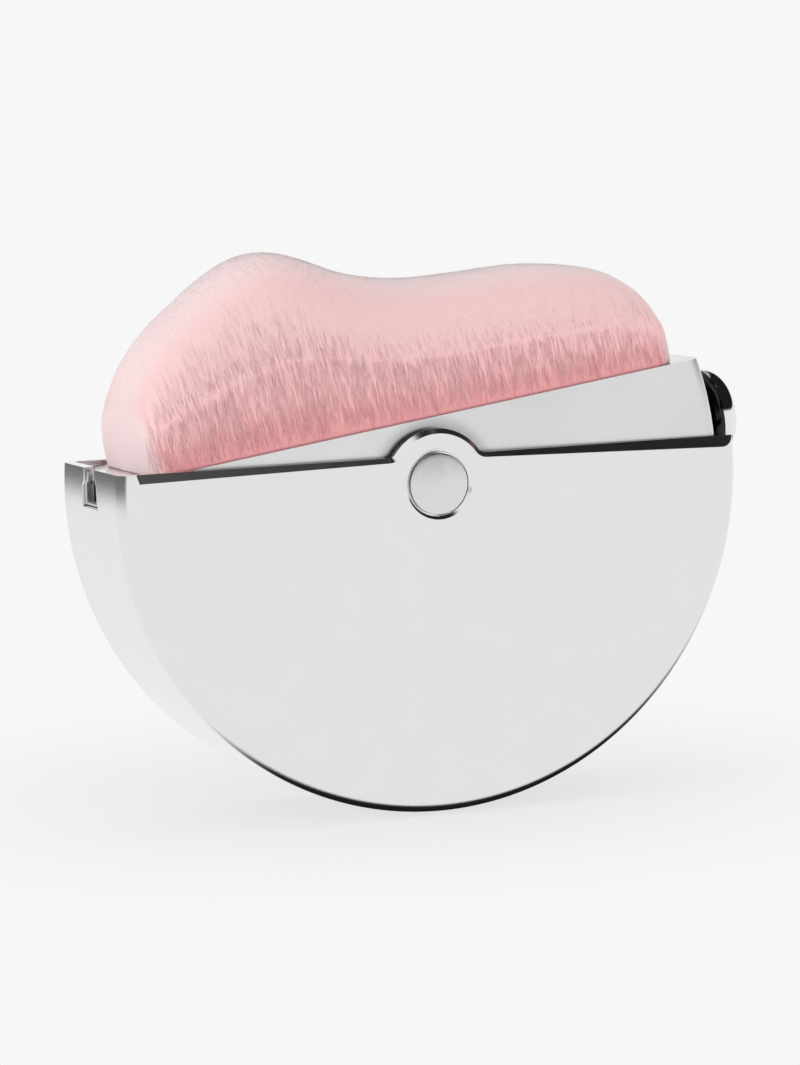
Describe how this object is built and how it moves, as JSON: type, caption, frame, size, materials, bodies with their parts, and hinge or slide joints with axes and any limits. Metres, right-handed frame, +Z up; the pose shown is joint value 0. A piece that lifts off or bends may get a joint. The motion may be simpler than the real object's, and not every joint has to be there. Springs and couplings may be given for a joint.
{
  "type": "blending brush",
  "caption": "Pocket blending brush: a half-disc polished metal case with a swinging brush head, a cross pin with button head, a domed thumb knob and a waved soft tuft.",
  "frame": {"origin": "middle of the case's flat back face, 14 mm below the axis of the cross pin", "axes": "+X to the user's right along the case's straight top edge, +Y out of the flat back, +Z up towards the bristles"},
  "size_m": [0.074, 0.0214, 0.0597],
  "materials": {
    "case_metal": "satin polished faces, bright rim and edges",
    "head_metal": "polished, faintly satin",
    "button_metal": "satin polished",
    "knob_metal": "mirror polished",
    "steel": "turned steel",
    "spring_steel": "bright rolled strip",
    "nylon": "natural nylon",
    "block_plastic": "moulded, unpainted",
    "resin": "set casting resin",
    "fibre": "fine crimped synthetic fibre, pale pink tips"
  },
  "bodies": {
    "case": {"case_shell": "case_metal", "slot_clip": "spring_steel", "pivot_post": "button_metal", "pivot_screw": "steel", "thrust_washer": "nylon", "wave_washer": "spring_steel"},
    "head": {"head_shell": "head_metal", "head_cover": "head_metal", "front_bush": "nylon", "rear_bush": "nylon", "brush_block": "block_plastic", "block_screw_left": "steel", "block_screw_right": "steel", "fibre_bed": "resin", "thumb_knob": "knob_metal", "knob_stud": "steel", "bristles_left_end": "fibre", "bristles_left": "fibre", "bristles_right": "fibre", "bristles_right_end": "fibre"}
  },
  "joints": [
    {"name": "head_swing", "type": "hinge", "parent": "case", "child": "head", "pos_m": [0, -0.0106, 0.014], "axis": [0, -1, 0], "range_deg": [0, 171.7]}
  ]
}
